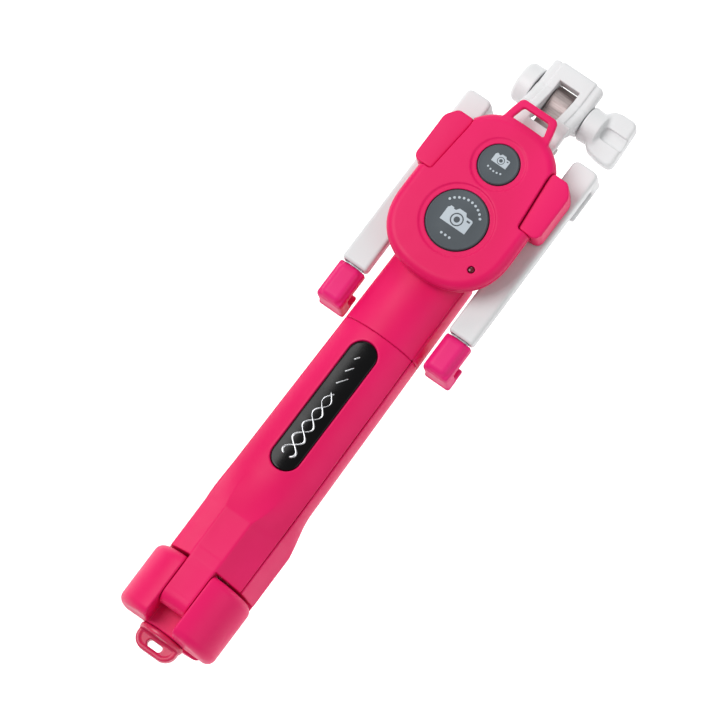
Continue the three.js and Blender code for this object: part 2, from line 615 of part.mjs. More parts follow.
function clipSolid(side) {
  const body = plate(clipPlan(side, 0), ARM_FRONT + GAP, CLIP_FRONT);
  const remoteSpace = remoteLayers([[BAR_FRONT, -GAP], [CLIP_FRONT - 1.4, -GAP]]);
  const clear = block(sided(side, [0, ARM_IN + 0.6]), [100, 180], [0, BAR_FRONT + 0.1]);
  const screwHole = rod(SCREW_RADIUS + 0.1, 0, 11, 12, alongZ(side * CLIP_SCREW.x, CLIP_SCREW.y));
  return body.subtract(remoteSpace).subtract(clear).subtract(screwHole);
}

function remoteBackSolid() {
  return remoteLayers([[REMOTE_BACK, 1.6], [REMOTE_BACK + 0.5, 0.5], [REMOTE_BACK + 1.2, 0],
    [REMOTE_SPLIT, 0]]).subtract(chamber(REMOTE_BACK + 1, REMOTE_SPLIT + 1));
}

function loopSolid() {
  const shape = new THREE.Shape(points2([
    [-7.3, 161], [7.3, 161], [7.1, 164.5], [5.9, 168.6], [5.2, 169.2], [-5.2, 169.2],
    [-5.9, 168.6], [-7.1, 164.5],
  ]));
  shape.holes.push(new THREE.Path(points2([
    [-5.2, 164.2], [5.2, 164.2], [4.3, 167.6], [-4.3, 167.6],
  ])));
  return plate(shape, REMOTE_SPLIT + GAP, REMOTE_SPLIT + 2);
}

function remoteFrontSolid() {
  let shell = remoteLayers([[REMOTE_SPLIT + GAP, 0], [15.4, 0.25], [16.3, 1], [16.9, 2.3],
    [REMOTE_FRONT, 4]]).add(loopSolid());
  shell = shell.subtract(chamber(REMOTE_SPLIT, CHAMBER_TOP));
  for (const { y, radius } of Object.values(BUTTONS)) {
    const floor = REMOTE_FRONT - DISH.depth;
    const dish = rod(radius + DISH.margin, floor, REMOTE_FRONT + 1, 32, alongZ(0, y));
    shell = shell.subtract(dish).subtract(rod(radius + 0.25, 14, 18, 32, alongZ(0, y)));
  }
  for (const side of [-1, 1]) shell = shell.subtract(plate(clipPlan(side, GAP), 14, 18));
  return shell.subtract(rod(LENS.radius + 0.2, 15.6, 18, 16, alongZ(LENS.x, LENS.y)));
}

function buttonSolid({ y, radius }) {
  return lathe([[0, 15.8], [radius + 0.7, 15.8], [radius + 0.7, 16.05], [radius, 16.05],
    [radius, 17], [radius - 0.4, 17.3], [0, 17.35]], 32, alongZ(0, y));
}

const switchSolid = ({ y }) =>
  lathe([[0, 15], [2.4, 15], [1.8, 15.2], [0, 15.25]], 16, alongZ(0, y));

const lensSolid = () => lathe([[0, 15.75], [LENS.radius, 15.75], [LENS.radius, 16.9],
  [0, 17.1]], 16, alongZ(LENS.x, LENS.y));

const boardSolid = () => plate(roundedShape(-10.9, 10.9, 119, 157.5, 2), 14.4, 14.9);
const cellSolid = () => rod(10, REMOTE_BACK + 1.1, 14.3, 36, alongZ(0, REMOTE_WIDEST));

// ---------------------------------------------------------------- assembly

const stick = new THREE.Group();

function add(name, solid, material, group = stick) {
  const mesh = part(name, solid, material);
  group.add(mesh);
  return mesh;
}

add('hub', hubSolid(), pinkPlastic);
add('base_cap', baseCapSolid(), pinkPlastic);
add('handle_sleeve', sleeveSolid(), pinkPlastic);

const leg = legSolid();
const frontLeg = leg.subtract(stadium(GAP / 2, badgeFloor, BLADE_RADIUS + 1));
for (const [name, azimuth] of Object.entries(LEG_AZIMUTHS)) {
  const side = new THREE.Group();
  side.rotation.y = azimuth * DEG;
  add(`leg_${name}`, name === 'front' ? frontLeg : leg, pinkPlastic, side);
  add(`foot_${name}`, footSolid(), pinkRubber, side);
  add(`leg_pin_${name}`, hingeRod(PIN_RADIUS, PIN_HALF), steel, side);
  stick.add(side);
}
add('badge', stadium(0, badgeFloor + 0.1, badgeFloor + 0.95), blackGloss);

for (let i = 0; i < TUBE_COUNT; i += 1) add(`pole_tube_${i + 1}`, tubeSolid(i), chrome);
add('pole_head', poleHeadSolid(), lugMetal);

add('swivel_fork', forkSolid(), whitePlastic);
add('hinge_bolt', boltSolid(), steel);
add('hex_nut', nutSolid(), steel);
add('nut_cover', nutCoverSolid(), whitePlastic);
add('wing_knob', wingKnobSolid(), whitePlastic);

add('jaw_frame', jawFrameSolid(), whitePlastic);
for (const [name, side] of Object.entries({ right: 1, left: -1 })) {
  add(`jaw_rod_${name}`, jawRodSolid(side), steel);
  add(`jaw_hook_${name}`, jawHookSolid(side), pinkRubber);
  add(`jaw_spring_${name}`, springSolid(side), steel);
  add(`clip_${name}`, clipSolid(side), pinkPlastic);
  const clipScrew = add(`clip_screw_${name}`, screwSolid(6.2), steel);
  clipScrew.position.set(side * CLIP_SCREW.x, CLIP_SCREW.y, ARM_BACK + 0.15 + 6.2);
  clipScrew.rotation.y = Math.PI;
}
for (const [i, y] of FRAME_SCREWS.entries()) {
  const screw = add(`frame_screw_${i + 1}`, screwSolid(4.6), steel);
  screw.position.set(0, y, BAR_FRONT - 0.1 - 4.6);
}

add('remote_back', remoteBackSolid(), pinkPlastic);
add('remote_front', remoteFrontSolid(), pinkPlastic);
add('coin_cell', cellSolid(), steel);
add('circuit_board', boardSolid(), boardGreen);
add('indicator_lens', lensSolid(), redLens);
for (const [name, button] of Object.entries(BUTTONS)) {
  add(`button_${name}`, buttonSolid(button), darkButton);
  add(`switch_${name}`, switchSolid(button), steel);
}

// The origin is under the middle of the whole stick, at the height of its lowest point.
stick.updateMatrixWorld(true);
const extent = new THREE.Box3().setFromObject(stick, true);
const middle = extent.getCenter(new THREE.Vector3());
stick.position.set(-middle.x, -middle.y, -extent.min.z);

export default stick;
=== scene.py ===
"""A folded telescopic selfie stick with a tripod handle, a swivelling phone clamp and a remote.

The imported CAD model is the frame. Each visible moulding is built here as a smooth mesh from a
distance field: a formula that is negative inside the piece, with an edge rounded where two of
its faces meet. Lengths in the formulas are millimetres in the stick's own axes: y runs along
the pole from the hub's underside, z is the front, and the pole's axis is x = 0, z = 0.
"""

import math

import bmesh
import bpy
import numpy as np
from mathutils import Matrix, Vector


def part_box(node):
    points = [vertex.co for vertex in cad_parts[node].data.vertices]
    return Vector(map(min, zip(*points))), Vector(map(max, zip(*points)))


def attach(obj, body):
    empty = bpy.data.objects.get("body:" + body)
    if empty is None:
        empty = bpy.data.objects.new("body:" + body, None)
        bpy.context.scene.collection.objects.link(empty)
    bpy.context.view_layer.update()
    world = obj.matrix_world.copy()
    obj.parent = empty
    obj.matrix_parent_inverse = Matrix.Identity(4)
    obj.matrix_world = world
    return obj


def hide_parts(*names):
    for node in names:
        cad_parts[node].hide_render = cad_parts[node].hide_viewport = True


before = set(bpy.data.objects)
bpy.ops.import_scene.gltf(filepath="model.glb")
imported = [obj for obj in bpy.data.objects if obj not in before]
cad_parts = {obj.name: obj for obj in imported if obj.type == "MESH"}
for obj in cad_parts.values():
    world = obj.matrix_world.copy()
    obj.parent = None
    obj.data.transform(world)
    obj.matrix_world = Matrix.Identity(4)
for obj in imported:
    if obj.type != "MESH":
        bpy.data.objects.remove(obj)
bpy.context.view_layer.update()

MM = 0.001
DEG = math.pi / 180

# ------------------------------------------------------------------ places, from the frame

TUBE_LOW, TUBE_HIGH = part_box("pole_tube_1")
ORIGIN = np.array([0.0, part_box("hub")[0].y, (TUBE_LOW.z + TUBE_HIGH.z) / 2])


def span(node, axis):
    """Where a CAD node starts and ends along x, y or z."""
    low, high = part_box(node)
    i = "xyz".index(axis)
    return (low[i] - ORIGIN[i]) / MM, (high[i] - ORIGIN[i]) / MM


def middle(node, axis):
    return sum(span(node, axis)) / 2


def width(node, axis):
    low, high = span(node, axis)
    return high - low


BOLT_Y = middle("nut_cover", "y")
PIN_Y = middle("leg_pin_front", "y")
PIN_OUT = middle("leg_pin_front", "z")
LEG_TIP = span("leg_front", "y")[1]
SLEEVE_TOP = span("handle_sleeve", "y")[1]
ARM_TOP = span("jaw_frame", "y")[1]
ARM_OUT = span("jaw_frame", "x")[1]
PAD_BOTTOM, PAD_TOP = span("jaw_hook_right", "y")
REMOTE_BACK, BACK_TOP = span("remote_back", "z")
REMOTE_HALF = span("remote_back", "x")[1]
REMOTE_LOW, REMOTE_HIGH = span("remote_back", "y")
SCREW_HEIGHTS = [middle(f"frame_screw_{i}", "y") for i in (1, 2)]
CLIP_SCREW = [middle("clip_screw_right", axis) for axis in "xy"]

# ------------------------------------------------------------------ driving dimensions

GAP = 0.3
SEAM_LOW = LEG_TIP + 0.05  # the legs end here
SEAM_HIGH = LEG_TIP + 0.17  # and the sleeve starts here
LEG_BOTTOM = 19.8
ROOT_TOP = LEG_BOTTOM + 3
ROOT_IN = 7.2
PIN_BORE = 1.35
PIN_REACH = 9.2
HUB_HEIGHT = 19
LOBE_EDGE = 2.5
SOCKET_RADIUS = 6.8
SOCKET_FLOOR = 15
SPIGOT_RADIUS = 5.75
SPIGOT = (13, 24)
STEM_RADIUS = 2
STEM_TOP = 7.4
CAP_RADIUS = 6.6
CAP_BOTTOM = -1.9
TAB_HALF = 6.2
TAB_END = -6.5
TAB_HALF_THICK = 1.4
TAB_SLOT = ((-2.3, 2.3), (-4.9, -2.9))
LOBE_RADIUS = 12.6
LOBE_OFFSET = 2.9
SLOT_HALF = 4.3
SLOT_FLOOR = 5.9
KNUCKLE = 3.7
BORE_RADIUS = 6.9
BULGE = 1.3
MID_RADIUS = 11.9
MID_TAPER = 1 / 70
SCOOP_TOP = 48
SCOOP_END = 35.5
SCOOP_HALF = 7.8
BLADE_HALF = 4.2
BLADE_RADIUS = 13.7
BLADE_SEAM = 13.3
BADGE_HALF = 4.15
ARM_IN = 13.6
ARM_BACK = 3.6
ARM_FRONT = 8.0
SIDE_WALL = 1.1
FACE_WALL = 0.9
HOOK_BACK = -2.6
BAR = (143, 158)
BAR_FRONT = 11.7
RISER_OUT = 12.6
SCREW_BORE = 1.0
SCREW_HEAD_BORE = 1.85
BOLT_BORE = 1.85
HEAD_CAP_RADIUS = 6.4
HEAD_CAP_TOP = 166.4
EYE_RADIUS = 4.38
FORK_WINDOW = (167.3, 181)
BRIDGE_BACK = 0.8
FOOT_DEPTH = (6.9, 9.1)
FORK_HALF = 8.1
FORK_GAP = 3.2
FORK_RADIUS = 5.6
LUG_HALF = 2.9
REMOTE_WIDEST = 131
REMOTE_FRONT = 17.2
REMOTE_POWERS = (2.8, 2.3)  # how square the outline is above and below its widest
REMOTE_WALL = 2
CHAMBER_HALF = 11.3
LOOP_THICK = 1.7
BUTTON_TOP = 17.35
BUTTON_GAP = 0.22
DISH_MARGIN = 1.75
DISH_DEPTH = 0.34

# ------------------------------------------------------------------ distance fields


def slab(u, low, high):
    """Between two parallel planes."""
    return np.abs(u - (low + high) / 2) - (high - low) / 2


def meet(a, b, r=0.0):
    """What is inside both, with the edge between them rounded to radius r."""
    corner = np.hypot(np.maximum(a + r, 0), np.maximum(b + r, 0))
    return np.minimum(np.maximum(a, b), -r) + corner


def join(a, b, r=0.0):
    """What is inside either, with a fillet of radius r between them."""
    return -meet(-a, -b, r)


def cut(a, b, r=0.0):
    """The first without the second, with the cut's edge rounded."""
    return meet(a, -b, r)


def block(x, y, z, xs, ys, zs, r=0.3):
    """A box with every edge rounded to radius r."""
    q = [slab(u, *ends) + r for u, ends in ((x, xs), (y, ys), (z, zs))]
    outside = np.sqrt(sum(np.maximum(a, 0) ** 2 for a in q))
    return outside + np.minimum(np.maximum(np.maximum(q[0], q[1]), q[2]), 0) - r


def rect(u, v, us, vs, r):
    """A rectangle with rounded corners, as an endless bar."""
    a, b = slab(u, *us) + r, slab(v, *vs) + r
    outside = np.hypot(np.maximum(a, 0), np.maximum(b, 0))
    return outside + np.minimum(np.maximum(a, b), 0) - r


def disc(u, v, cu, cv, radius):
    return np.hypot(u - cu, v - cv) - radius


def convex(u, v, corners, r):
    """A flat outline with straight sides: corners run anticlockwise and are rounded."""
    field = None
    for (u0, v0), (u1, v1) in zip(corners, corners[1:] + corners[:1]):
        du, dv = u1 - u0, v1 - v0
        side = ((u - u0) * dv - (v - v0) * du) / math.hypot(du, dv)
        field = side if field is None else meet(field, side, r)
    return field


def facing(x, z, azimuth):
    """x and z as seen by something that points along +z and is turned round the pole."""
    c, s = math.cos(azimuth * DEG), math.sin(azimuth * DEG)
    return x * c - z * s, x * s + z * c


def surface(field, low, high, step):
    """A quad mesh of the surface where the field is zero, inside a box."""
    counts = np.ceil((high - low) / step).astype(int) + 1
    axes = [low[i] + step * np.arange(counts[i]) for i in range(3)]
    grid = np.meshgrid(*axes, indexing="ij", sparse=True)
    values = np.broadcast_to(field(*grid), counts)
    strides = np.array([counts[1] * counts[2], counts[2], 1])
    rings, crossings = [], []
    for axis in range(3):
        here, there = [slice(None)] * 3, [slice(None)] * 3
        here[axis], there[axis] = slice(None, -1), slice(1, None)
        start, end = values[tuple(here)], values[tuple(there)]
        edges = np.argwhere((start < 0) != (end < 0))
        first, last = start[tuple(edges.T)], end[tuple(edges.T)]
        crossing = edges.astype(float)
        crossing[:, axis] += first / (first - last)
        ring = []
        for du, dv in ((1, 1), (0, 1), (0, 0), (1, 0)):
            cell = edges.copy()
            cell[:, (axis + 1) % 3] -= du
            cell[:, (axis + 2) % 3] -= dv
            ring.append(cell @ strides)
        ring = np.stack(ring, 1)
        ring[first >= 0] = ring[first >= 0][:, ::-1]
        rings.append(ring)
        crossings.append(np.repeat(crossing, 4, axis=0))
    crossings = np.concatenate(crossings)
    _, corners = np.unique(np.concatenate(rings), return_inverse=True)
    corners = corners.ravel()
    shared = np.bincount(corners)
    sums = [np.bincount(corners, crossings[:, i]) for i in range(3)]
    points = low + step * np.stack(sums, 1) / shared[:, None]
    return settle(field, points, step), corners.reshape(-1, 4)


def settle(field, points, step):
    """Moves the points of a mesh exactly onto the surface."""
    h = step / 10
    for _ in range(3):
        slope = np.zeros_like(points)
        for i in range(3):
            ahead, behind = points.copy(), points.copy()
            ahead[:, i] += h
            behind[:, i] -= h
            slope[:, i] = (field(*ahead.T) - field(*behind.T)) / (2 * h)
        steepness = np.maximum((slope**2).sum(1), 0.25)
        move = slope * (field(*points.T) / steepness)[:, None]
        points = points - np.clip(move, -step / 3, step / 3)
    return points


# ------------------------------------------------------------------ materials


def principled(name, base, roughness, metallic=0.0, **sockets):
    """A material with its plain values set on the shader's own sockets."""
    material = bpy.data.materials.new(name)
    material.use_nodes = True
    shader = material.node_tree.nodes["Principled BSDF"]
    shader.inputs["Base Color"].default_value = (*base, 1)
    shader.inputs["Roughness"].default_value = roughness
    shader.inputs["Metallic"].default_value = metallic
    for socket, value in sockets.items():
        shader.inputs[socket.replace("_", " ")].default_value = value
    return material, shader


def srgb(*levels):
    """Linear colour from 0 to 255 screen levels."""
    return [((v / 255 + 0.055) / 1.055) ** 2.4 if v > 10 else v / 255 / 12.92 for v in levels]


def noise(tree, scale, detail=3.0, stretch=(1, 1, 1)):
    """Noise fixed to the piece; the scale is in blobs per metre."""
    coordinates = tree.nodes.new("ShaderNodeTexCoord")
    mapping = tree.nodes.new("ShaderNodeMapping")
    mapping.inputs["Scale"].default_value = stretch
    texture = tree.nodes.new("ShaderNodeTexNoise")
    texture.inputs["Scale"].default_value = scale
    texture.inputs["Detail"].default_value = detail
    tree.links.new(coordinates.outputs["Object"], mapping.inputs["Vector"])
    tree.links.new(mapping.outputs["Vector"], texture.inputs["Vector"])
    return texture.outputs["Fac"]


def spread(tree, fac, low, high):
    """Maps noise to a range of values."""
    node = tree.nodes.new("ShaderNodeMapRange")
    node.inputs["From Min"].default_value = 0.3
    node.inputs["From Max"].default_value = 0.7
    node.inputs["To Min"].default_value = low
    node.inputs["To Max"].default_value = high
    tree.links.new(fac, node.inputs["Value"])
    return node.outputs["Result"]


def two_tone(tree, shader, fac, dark, light):
    ramp = tree.nodes.new("ShaderNodeValToRGB")
    ramp.color_ramp.elements[0].position = 0.35
    ramp.color_ramp.elements[1].position = 0.65
    ramp.color_ramp.elements[0].color = (*dark, 1)
    ramp.color_ramp.elements[1].color = (*light, 1)
    tree.links.new(fac, ramp.inputs["Fac"])
    tree.links.new(ramp.outputs["Color"], shader.inputs["Base Color"])


def bumped(tree, shader, height, depth, strength=1.0):
    bump = tree.nodes.new("ShaderNodeBump")
    bump.inputs["Strength"].default_value = strength
    bump.inputs["Distance"].default_value = depth
    tree.links.new(height, bump.inputs["Height"])
    tree.links.new(bump.outputs["Normal"], shader.inputs["Normal"])


def plastic(name, dark, light, roughness, grain=1500, depth=0.000012, **sockets):
    """Moulded plastic: faint flow marks in the colour, and the fine grain of the mould."""
    material, shader = principled(name, light, roughness, **sockets)
    tree = material.node_tree
    two_tone(tree, shader, noise(tree, 45, 2.0, (1, 0.4, 1)), dark, light)
    patches = noise(tree, 160, 2.0)
    tree.links.new(
        spread(tree, patches, roughness - 0.04, roughness + 0.05), shader.inputs["Roughness"]
    )
    bumped(tree, shader, noise(tree, grain, 4.0), depth, 0.5)
    return material


def metal(name, dark, light, roughness, stretch, scale=900, depth=0.000006):
    """Metal with fine marks drawn out along one direction."""
    material, shader = principled(name, light, roughness, 1.0)
    tree = material.node_tree
    marks = noise(tree, scale, 4.0, stretch)
    two_tone(tree, shader, marks, dark, light)
    tree.links.new(
        spread(tree, marks, roughness - 0.05, roughness + 0.08), shader.inputs["Roughness"]
    )
    bumped(tree, shader, marks, depth, 0.4)
    return material


def board_material():
    """Solder mask with copper tracks showing through it."""
    material, shader = principled("board_green", srgb(31, 107, 58), 0.45)
    tree = material.node_tree
    tracks = tree.nodes.new("ShaderNodeTexBrick")
    coordinates = tree.nodes.new("ShaderNodeTexCoord")
    tracks.inputs["Scale"].default_value = 260
    tracks.inputs["Color1"].default_value = (*srgb(26, 92, 50), 1)
    tracks.inputs["Color2"].default_value = (*srgb(36, 118, 64), 1)
    tracks.inputs["Mortar"].default_value = (*srgb(176, 150, 72), 1)
    tree.links.new(coordinates.outputs["Object"], tracks.inputs["Vector"])
    tree.links.new(tracks.outputs["Color"], shader.inputs["Base Color"])
    return material


MATERIALS = {
    "pink_plastic": plastic(
        "pink_plastic", srgb(220, 14, 90), srgb(230, 20, 100), 0.44, Specular_IOR_Level=0.22
    ),
    "pink_rubber": plastic(
        "pink_rubber", srgb(222, 20, 108), srgb(234, 32, 124), 0.5, 2200, 0.00002,
        Specular_IOR_Level=0.3,
    ),
    "white_plastic": plastic(
        "white_plastic", srgb(213, 214, 215), srgb(223, 224, 225), 0.4, 1300, 0.00001,
        Specular_IOR_Level=0.4,
    ),
    "steel": metal("steel", srgb(160, 163, 168), srgb(200, 203, 208), 0.3, (1, 1, 1)),
    "chrome_tube": metal(
        "chrome_tube", srgb(205, 208, 212), srgb(224, 227, 231), 0.13, (1, 0.05, 1), 700, 0.000003
    ),
    "lug_metal": metal(
        "lug_metal", srgb(142, 130, 129), srgb(180, 169, 167), 0.5, (0.1, 1, 1), 1400
    ),
    "black_gloss": plastic(
        "black_gloss", srgb(3, 3, 4), srgb(8, 8, 10), 0.16, 900, 0.000003, Specular_IOR_Level=0.2
    ),
    "grey_button": plastic(
        "grey_button", srgb(58, 66, 72), srgb(74, 83, 90), 0.5, 2600, 0.000015
    ),
    "lens_red": plastic("lens_red", srgb(84, 14, 24), srgb(116, 24, 36), 0.2, 900, 0.000004),
    "board_green": board_material(),
}
# A darker copy of the pink plastic for the base cap and its lanyard tab: painted shade, standing
# for the shadow that falls on the tab under the legs' feet.
SHADED_PINK = plastic(
    "pink_plastic_shaded", srgb(196, 24, 78), srgb(212, 34, 88), 0.36, Subsurface_Weight=0.15,
    Subsurface_Scale=0.002,
)
PRINT_GREY = plastic("print_grey", srgb(176, 186, 194), srgb(192, 201, 208), 0.5, 3000, 0.000008)
SILVER_FOIL = metal("silver_foil", srgb(196, 198, 202), srgb(232, 233, 236), 0.26, (1, 0.2, 1))

# ------------------------------------------------------------------ making pieces


def piece(name, points, faces, body, slot, replaced=(), material=None):
    """A mesh object from points in stick millimetres, riding on a CAD body."""
    mesh = bpy.data.meshes.new(name)
    mesh.from_pydata((np.asarray(points) * MM + ORIGIN).tolist(), [], np.asarray(faces).tolist())
    mesh.polygons.foreach_set("use_smooth", [True] * len(mesh.polygons))
    return shown(bpy.data.objects.new(name, mesh), body, slot, replaced, material)


def shown(thing, body, slot, replaced=(), material=None):
    if thing.name not in bpy.context.scene.collection.objects:
        bpy.context.scene.collection.objects.link(thing)
    thing.data.materials.clear()
    thing.data.materials.append(material or MATERIALS[slot])
    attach(thing, body)
    if replaced:
        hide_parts(*replaced)
    return thing


def moulding(
    node, body, slot, field, step=0.3, like=None, azimuth=0, mirrored=False, material=None
):
    """The smooth piece that stands for a CAD node, built in the box of the node it is like."""
    low, high = ((np.array(corner) - ORIGIN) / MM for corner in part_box(like or node))
    margin = 1 + 2 * step
    points, quads = surface(field, low - margin, high + margin, step)
    if mirrored:
        points[:, 0] *= -1
        quads = quads[:, ::-1]
    if azimuth:
        c, s = math.cos(azimuth * DEG), math.sin(azimuth * DEG)
        x, z = points[:, 0].copy(), points[:, 2].copy()
        points[:, 0], points[:, 2] = x * c + z * s, z * c - x * s
    return piece(f"{node}_moulding", points, quads, body, slot, [node], material)


def turning(name, body, slot, profile, centre, axis, replaced, sides=96):
    """A round piece from a closed profile of radius and height pairs."""
    profile = np.array(profile, float)
    turns = np.arange(sides) * 2 * math.pi / sides
    along = "xyz".index(axis)
    points = np.zeros((len(profile), sides, 3))
    points[:, :, (along + 1) % 3] = profile[:, :1] * np.cos(turns)
    points[:, :, (along + 2) % 3] = profile[:, :1] * np.sin(turns)
    points[:, :, along] = profile[:, 1:]
    points = points.reshape(-1, 3) + np.array(centre)
    faces = []
    for i in range(len(profile)):
        j = (i + 1) % len(profile)
        for k in range(sides):
            m = (k + 1) % sides
            faces.append([i * sides + k, i * sides + m, j * sides + m, j * sides + k])
    mesh = piece(name, points, faces, body, slot, replaced).data
    weld(mesh)
    mesh.set_sharp_from_angle(angle=35 * DEG)


def weld(mesh):
    """Joins the points that meet on the axis, and turns every face outwards."""
    work = bmesh.new()
    work.from_mesh(mesh)
    bmesh.ops.remove_doubles(work, verts=work.verts, dist=1e-7)
    bmesh.ops.dissolve_degenerate(work, dist=1e-7, edges=work.edges)
    bmesh.ops.recalc_face_normals(work, faces=work.faces)
    work.to_mesh(mesh)
    work.free()
    mesh.polygons.foreach_set("use_smooth", [True] * len(mesh.polygons))


def kept(node, slot, width_mm=0.12):
    """A CAD node that stays, with its own finish and softened edges."""
    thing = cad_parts[node]
    thing.data.materials.clear()
    thing.data.materials.append(MATERIALS[slot])
    bevel = thing.modifiers.new("soft_edges", "BEVEL")
    bevel.width = width_mm * MM
    bevel.segments = 2
    bevel.limit_method = "ANGLE"
    bevel.angle_limit = 40 * DEG


# ------------------------------------------------------------------ handle


def handle_radius(y, angle):
    """The smooth handle's radius at an angle in degrees from the middle of a leg."""
    return MID_RADIUS - (y - SCOOP_TOP) * MID_TAPER + BULGE * (angle / 60) ** 2


def leg_skin(x, y, z):
    """A leg's outer face: round above, and below it a raised blade with a facet on each side."""
    across = np.abs(x)
    angle = np.minimum(np.degrees(np.arctan2(across, z)), 75)
    smooth = np.hypot(x, z) - handle_radius(y, angle)
    raised = np.clip((SCOOP_TOP - y) / (SCOOP_TOP - SCOOP_END), 0, 1) ** 1.6
    half = SCOOP_HALF + (BLADE_HALF - SCOOP_HALF) * raised
    drop = BLADE_RADIUS - BLADE_SEAM * math.cos(60 * DEG)
    reach = BLADE_SEAM * math.sin(60 * DEG) - half
    facet = ((across - half) * drop + (z - BLADE_RADIUS) * reach) / np.hypot(drop, reach)
    blade = meet(z - BLADE_RADIUS, facet, 0.25)
    return smooth * (1 - raised) + blade * raised


def leg_field(x, y, z):
    side = np.abs(x) * math.cos(60 * DEG) - z * math.sin(60 * DEG) + GAP / 2
    shell = meet(leg_skin(x, y, z), side, 0.35)
    shell = meet(shell, BORE_RADIUS - np.hypot(x, z), 0.2)
    shell = meet(shell, LEG_BOTTOM - y, 0.3)
    shell = meet(shell, y - SEAM_LOW, 0.1)
    root = rect(y, z, (PIN_Y, ROOT_TOP), (ROOT_IN, BLADE_RADIUS), 0)
    profile = join(disc(y, z, PIN_Y, PIN_OUT, KNUCKLE), root, 0.1)
    tongue = meet(profile, np.abs(x) - SLOT_HALF + 0.2, 0.35)
    whole = cut(join(shell, tongue, 0.15), disc(y, z, PIN_Y, PIN_OUT, PIN_BORE), 0.15)
    foot = [span("foot_front", axis) for axis in "xyz"]
    grown = [(low - 0.2, high + 0.2) for low, high in foot]
    grown[1] = (grown[1][0], LEG_TIP + 2)
    return cut(whole, block(x, y, z, *grown, 0.1), 0.1)


BADGE_ENDS = span("badge", "y")


def badge_plan(x, y):
    """Distance from the badge's outline, a strip with round ends."""
    low, high = BADGE_ENDS[0] + BADGE_HALF, BADGE_ENDS[1] - BADGE_HALF
    return np.hypot(x, y - np.clip(y, low, high)) - BADGE_HALF


def front_leg_field(x, y, z):
    floor = handle_radius(y, 0) - 1.2
    recess = meet(badge_plan(x, y) - 0.18, floor - z, 0.1)
    return cut(leg_field(x, y, z), recess, 0.3)


def badge_top(x, y):
    """How far out the badge's crowned face lies."""
    return handle_radius(y, 0) - 0.22 - 0.022 * x**2


def badge_field(x, y, z):
    strip = meet(badge_plan(x, y), z - badge_top(x, y), 0.35)
    return meet(strip, handle_radius(y, 0) - 1.1 - z, 0.1)


def sleeve_field(x, y, z):
    radius = np.hypot(x, z)
    turn = np.degrees(np.arctan2(x, z))
    angle = np.abs((turn + 60) % 120 - 60)
    side = radius * np.sin((angle - 60) * DEG) + GAP / 2
    panel = meet(radius - handle_radius(y, angle), side, 0.35)
    body = join(panel, radius - handle_radius(y, 0) + 0.9)
    body = meet(body, y - SLEEVE_TOP, 1.0)
    body = meet(body, SEAM_HIGH - y, 0.1)
    return meet(body, BORE_RADIUS - 0.1 - radius, 0.15)


def hub_field(x, y, z):
    whole = None
    for azimuth in (60, 180, 300):
        across, out = facing(x, z, azimuth)
        lobe = disc(across, out, 0, LOBE_OFFSET, LOBE_RADIUS)
        lobe = meet(lobe, slab(y, 0, HUB_HEIGHT), LOBE_EDGE)
        whole = lobe if whole is None else join(whole, lobe, 0.4)
    for azimuth in (0, 120, 240):
        across, out = facing(x, z, azimuth)
        slot = np.maximum(np.abs(across) - SLOT_HALF, SLOT_FLOOR - out)
        whole = cut(whole, slot, 0.55)
        pin = meet(disc(y, out, PIN_Y, PIN_OUT, PIN_BORE), np.abs(across) - PIN_REACH)
        whole = cut(whole, pin, 0.1)
    radius = np.hypot(x, z)
    whole = cut(whole, np.maximum(radius - SOCKET_RADIUS, SOCKET_FLOOR - y), 0.3)
    spigot = meet(radius - SPIGOT_RADIUS, slab(y, *SPIGOT), 0.4)
    stem_bore = np.maximum(radius - STEM_RADIUS - GAP, y - STEM_TOP - 0.6)
    return cut(join(whole, spigot, 0.2), stem_bore, 0.3)


def base_cap_field(x, y, z):
    radius = np.hypot(x, z)
    plate = meet(radius - CAP_RADIUS, slab(y, CAP_BOTTOM, -GAP), 0.6)
    stem = meet(radius - STEM_RADIUS, slab(y, -1, STEM_TOP), 0.3)
    plan = meet(rect(x, y, (-TAB_HALF, TAB_HALF), (TAB_END, 4), 3.6), y + 0.6)
    tab = meet(plan, np.abs(z) - TAB_HALF_THICK, 0.5)
    dish = np.maximum(np.maximum(plan + 1.3, 1.2 - np.abs(z)), y + 2.4)
    tab = cut(tab, dish, 0.3)
    tab = cut(tab, rect(x, y, *TAB_SLOT, 0.95), 0.3)
    return join(join(plate, stem, 0.2), tab, 0.5)


# ------------------------------------------------------------------ swivel head


def pole_head_field(x, y, z):
    low, high = span("pole_head", "y")[0], HEAD_CAP_TOP
    radius = np.hypot(x, z)
    cap = meet(radius - HEAD_CAP_RADIUS, slab(y, low, high), 0.5)
    cap = cut(cap, disc(radius, y, 6.75, low + 1.9, 0.75), 0.15)
    cap = cut(cap, np.maximum(radius - 2.8, y - low - 2), 0.1)
    neck = block(x, y, z, (-LUG_HALF, LUG_HALF), (high - 0.6, BOLT_Y), (-0.4, 4), 0.3)
    eye = meet(disc(y, z, BOLT_Y, 0, EYE_RADIUS), np.abs(x) - LUG_HALF, 0.2)
    return cut(join(cap, join(neck, eye, 0.4), 0.5), disc(y, z, BOLT_Y, 0, BOLT_BORE), 0.15)


